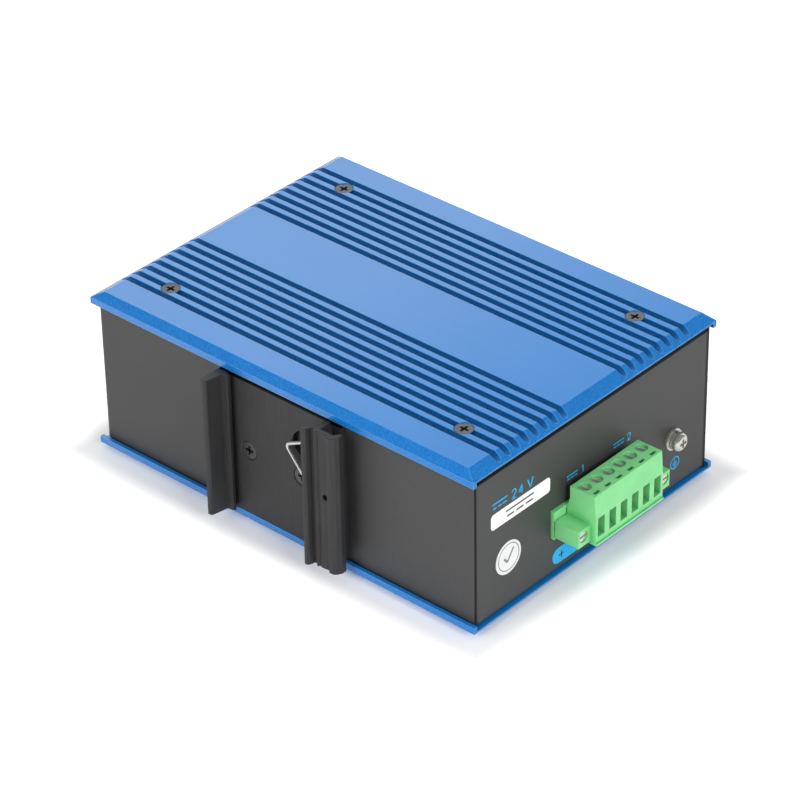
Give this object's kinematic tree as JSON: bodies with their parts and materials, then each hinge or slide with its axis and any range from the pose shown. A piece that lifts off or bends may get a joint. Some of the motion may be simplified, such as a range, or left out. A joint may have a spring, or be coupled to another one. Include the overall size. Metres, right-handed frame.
{
  "type": "rail mounted network switch",
  "caption": "Box-shaped industrial network switch with ribbed metal covers, a rail clip on its back and a plug-in power terminal on one end.",
  "frame": {"origin": "middle of the lower cover's outer face, on which the switch lies", "axes": "+Z from the lower cover to the upper one; +X towards the end with the power terminal; -Y the back with the rail clip; +Y the front with the ports"},
  "size_m": [0.1592, 0.1164, 0.056],
  "materials": {
    "blue_cover": "satin blue anodised",
    "dark_coat": "fine textured powder coat",
    "black_anodised": "black anodised",
    "bright_screw": "nickel plated",
    "dark_screw": "zinc plated, dull",
    "spring_steel": "bright drawn wire",
    "green_plastic": "moulded, half gloss",
    "clamp_steel": "zinc plated",
    "nickel_brass": "nickel plated",
    "board": "green solder resist",
    "tinned_steel": "tin plated",
    "black_plastic": "moulded",
    "gold_contact": "gold flash",
    "lamp_lens": "clouded",
    "sink_metal": "black anodised",
    "winding_tape": "yellow tape over a ferrite core",
    "can_metal": "shrink sleeve",
    "sticker_paper": "paper"
  },
  "bodies": {
    "case": {"board_screws": "bright_screw", "board_spacers": "bright_screw", "bulk_capacitors": "can_metal", "chip_heat_sink": "sink_metal", "din_clip": "black_anodised", "din_clip_screws": "dark_screw", "earth_flat_washer": "bright_screw", "earth_screw": "bright_screw", "earth_spring_washer": "bright_screw", "front_panel": "dark_coat", "header_nuts": "nickel_brass", "header_pins": "nickel_brass", "housing_wrap": "dark_coat", "indicator_lamps": "lamp_lens", "jack_body_1": "black_plastic", "jack_body_2": "black_plastic", "jack_body_3": "black_plastic", "jack_body_4": "black_plastic", "jack_contacts_1": "gold_contact", "jack_contacts_2": "gold_contact", "jack_contacts_3": "gold_contact", "jack_contacts_4": "gold_contact", "jack_shield_1": "tinned_steel", "jack_shield_2": "tinned_steel", "jack_shield_3": "tinned_steel", "jack_shield_4": "tinned_steel", "lamp_holder": "black_plastic", "lower_cover": "blue_cover", "lower_cover_screws": "bright_screw", "main_board": "board", "module_cage_1": "tinned_steel", "module_cage_2": "tinned_steel", "module_socket_1": "black_plastic", "module_socket_2": "black_plastic", "plug_contacts": "nickel_brass", "plug_flange_screws": "bright_screw", "power_coils": "black_plastic", "power_header": "green_plastic", "power_transformer": "winding_tape", "press_nuts": "bright_screw", "round_sticker": "sticker_paper", "signal_transformers": "black_plastic", "support_chips": "black_plastic", "switch_chip": "black_plastic", "terminal_plug": "green_plastic", "upper_cover": "blue_cover", "upper_cover_screws": "bright_screw"},
    "clip_spring": {"din_spring_wire": "spring_steel"},
    "clamp_screw_1_body": {"clamp_screw_1": "clamp_steel"},
    "clamp_cage_1_body": {"clamp_cage_1": "nickel_brass"},
    "clamp_screw_2_body": {"clamp_screw_2": "clamp_steel"},
    "clamp_cage_2_body": {"clamp_cage_2": "nickel_brass"},
    "clamp_screw_3_body": {"clamp_screw_3": "clamp_steel"},
    "clamp_cage_3_body": {"clamp_cage_3": "nickel_brass"},
    "clamp_screw_4_body": {"clamp_screw_4": "clamp_steel"},
    "clamp_cage_4_body": {"clamp_cage_4": "nickel_brass"},
    "clamp_screw_5_body": {"clamp_screw_5": "clamp_steel"},
    "clamp_cage_5_body": {"clamp_cage_5": "nickel_brass"},
    "clamp_screw_6_body": {"clamp_screw_6": "clamp_steel"},
    "clamp_cage_6_body": {"clamp_cage_6": "nickel_brass"}
  },
  "joints": [
    {"name": "clip_spring_flex", "type": "slide", "parent": "case", "child": "clip_spring", "axis": [1, 0, 0], "range_m": [0, 0.0033], "stiffness_N_per_m": 1500},
    {"name": "clamp_screw_1_turn", "type": "hinge", "parent": "case", "child": "clamp_screw_1_body", "pos_m": [0.0785, -0.0114, 0.0306], "axis": [0, 0, -1], "range_deg": [0, 2071]},
    {"name": "clamp_cage_1_rise", "type": "slide", "parent": "case", "child": "clamp_cage_1_body", "axis": [0, 0, 1], "range_m": [0, 0.00287]},
    {"name": "clamp_screw_2_turn", "type": "hinge", "parent": "case", "child": "clamp_screw_2_body", "pos_m": [0.0785, -0.00632, 0.0306], "axis": [0, 0, -1], "range_deg": [0, 2071]},
    {"name": "clamp_cage_2_rise", "type": "slide", "parent": "case", "child": "clamp_cage_2_body", "axis": [0, 0, 1], "range_m": [0, 0.00287]},
    {"name": "clamp_screw_3_turn", "type": "hinge", "parent": "case", "child": "clamp_screw_3_body", "pos_m": [0.0785, -0.00124, 0.0306], "axis": [0, 0, -1], "range_deg": [0, 2071]},
    {"name": "clamp_cage_3_rise", "type": "slide", "parent": "case", "child": "clamp_cage_3_body", "axis": [0, 0, 1], "range_m": [0, 0.00287]},
    {"name": "clamp_screw_4_turn", "type": "hinge", "parent": "case", "child": "clamp_screw_4_body", "pos_m": [0.0785, 0.00384, 0.0306], "axis": [0, 0, -1], "range_deg": [0, 2071]},
    {"name": "clamp_cage_4_rise", "type": "slide", "parent": "case", "child": "clamp_cage_4_body", "axis": [0, 0, 1], "range_m": [0, 0.00287]},
    {"name": "clamp_screw_5_turn", "type": "hinge", "parent": "case", "child": "clamp_screw_5_body", "pos_m": [0.0785, 0.00892, 0.0306], "axis": [0, 0, -1], "range_deg": [0, 2071]},
    {"name": "clamp_cage_5_rise", "type": "slide", "parent": "case", "child": "clamp_cage_5_body", "axis": [0, 0, 1], "range_m": [0, 0.00287]},
    {"name": "clamp_screw_6_turn", "type": "hinge", "parent": "case", "child": "clamp_screw_6_body", "pos_m": [0.0785, 0.014, 0.0306], "axis": [0, 0, -1], "range_deg": [0, 2071]},
    {"name": "clamp_cage_6_rise", "type": "slide", "parent": "case", "child": "clamp_cage_6_body", "axis": [0, 0, 1], "range_m": [0, 0.00287]}
  ],
  "couplings": [
    {"joint": "clamp_screw_1_turn", "follows": "clamp_cage_1_rise", "rad_per_m": 12566},
    {"joint": "clamp_screw_2_turn", "follows": "clamp_cage_2_rise", "rad_per_m": 12566},
    {"joint": "clamp_screw_3_turn", "follows": "clamp_cage_3_rise", "rad_per_m": 12566},
    {"joint": "clamp_screw_4_turn", "follows": "clamp_cage_4_rise", "rad_per_m": 12566},
    {"joint": "clamp_screw_5_turn", "follows": "clamp_cage_5_rise", "rad_per_m": 12566},
    {"joint": "clamp_screw_6_turn", "follows": "clamp_cage_6_rise", "rad_per_m": 12566}
  ]
}
